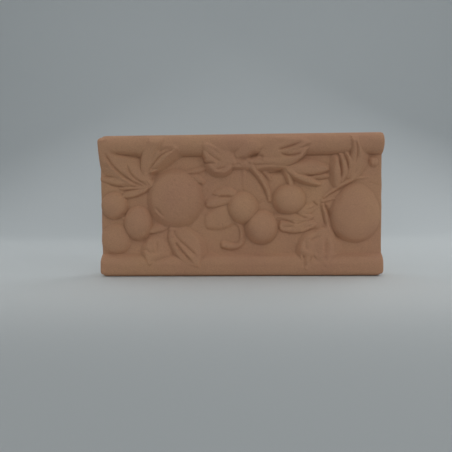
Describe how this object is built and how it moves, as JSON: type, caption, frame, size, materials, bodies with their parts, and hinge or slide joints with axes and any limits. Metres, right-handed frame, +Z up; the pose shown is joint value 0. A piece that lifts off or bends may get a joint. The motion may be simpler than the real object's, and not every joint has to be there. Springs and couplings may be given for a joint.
{
  "type": "relief border tile",
  "caption": "Unglazed ceramic border tile with rolled long edges and a fruit and leaf garland in high relief, made to be set on a wall.",
  "frame": {"origin": "middle of the flat back face, on the land between the two middle keying grooves", "axes": "+X along the tile's length, to the right seen from the front; +Y out of the back, into the wall; +Z up, across the tile's height; the relief faces -Y"},
  "size_m": [0.152, 0.0136, 0.0768],
  "materials": {
    "clay": "unglazed matte terracotta with a fine sandy grain"
  },
  "bodies": {
    "root": {"tile": "clay"}
  },
  "joints": []
}
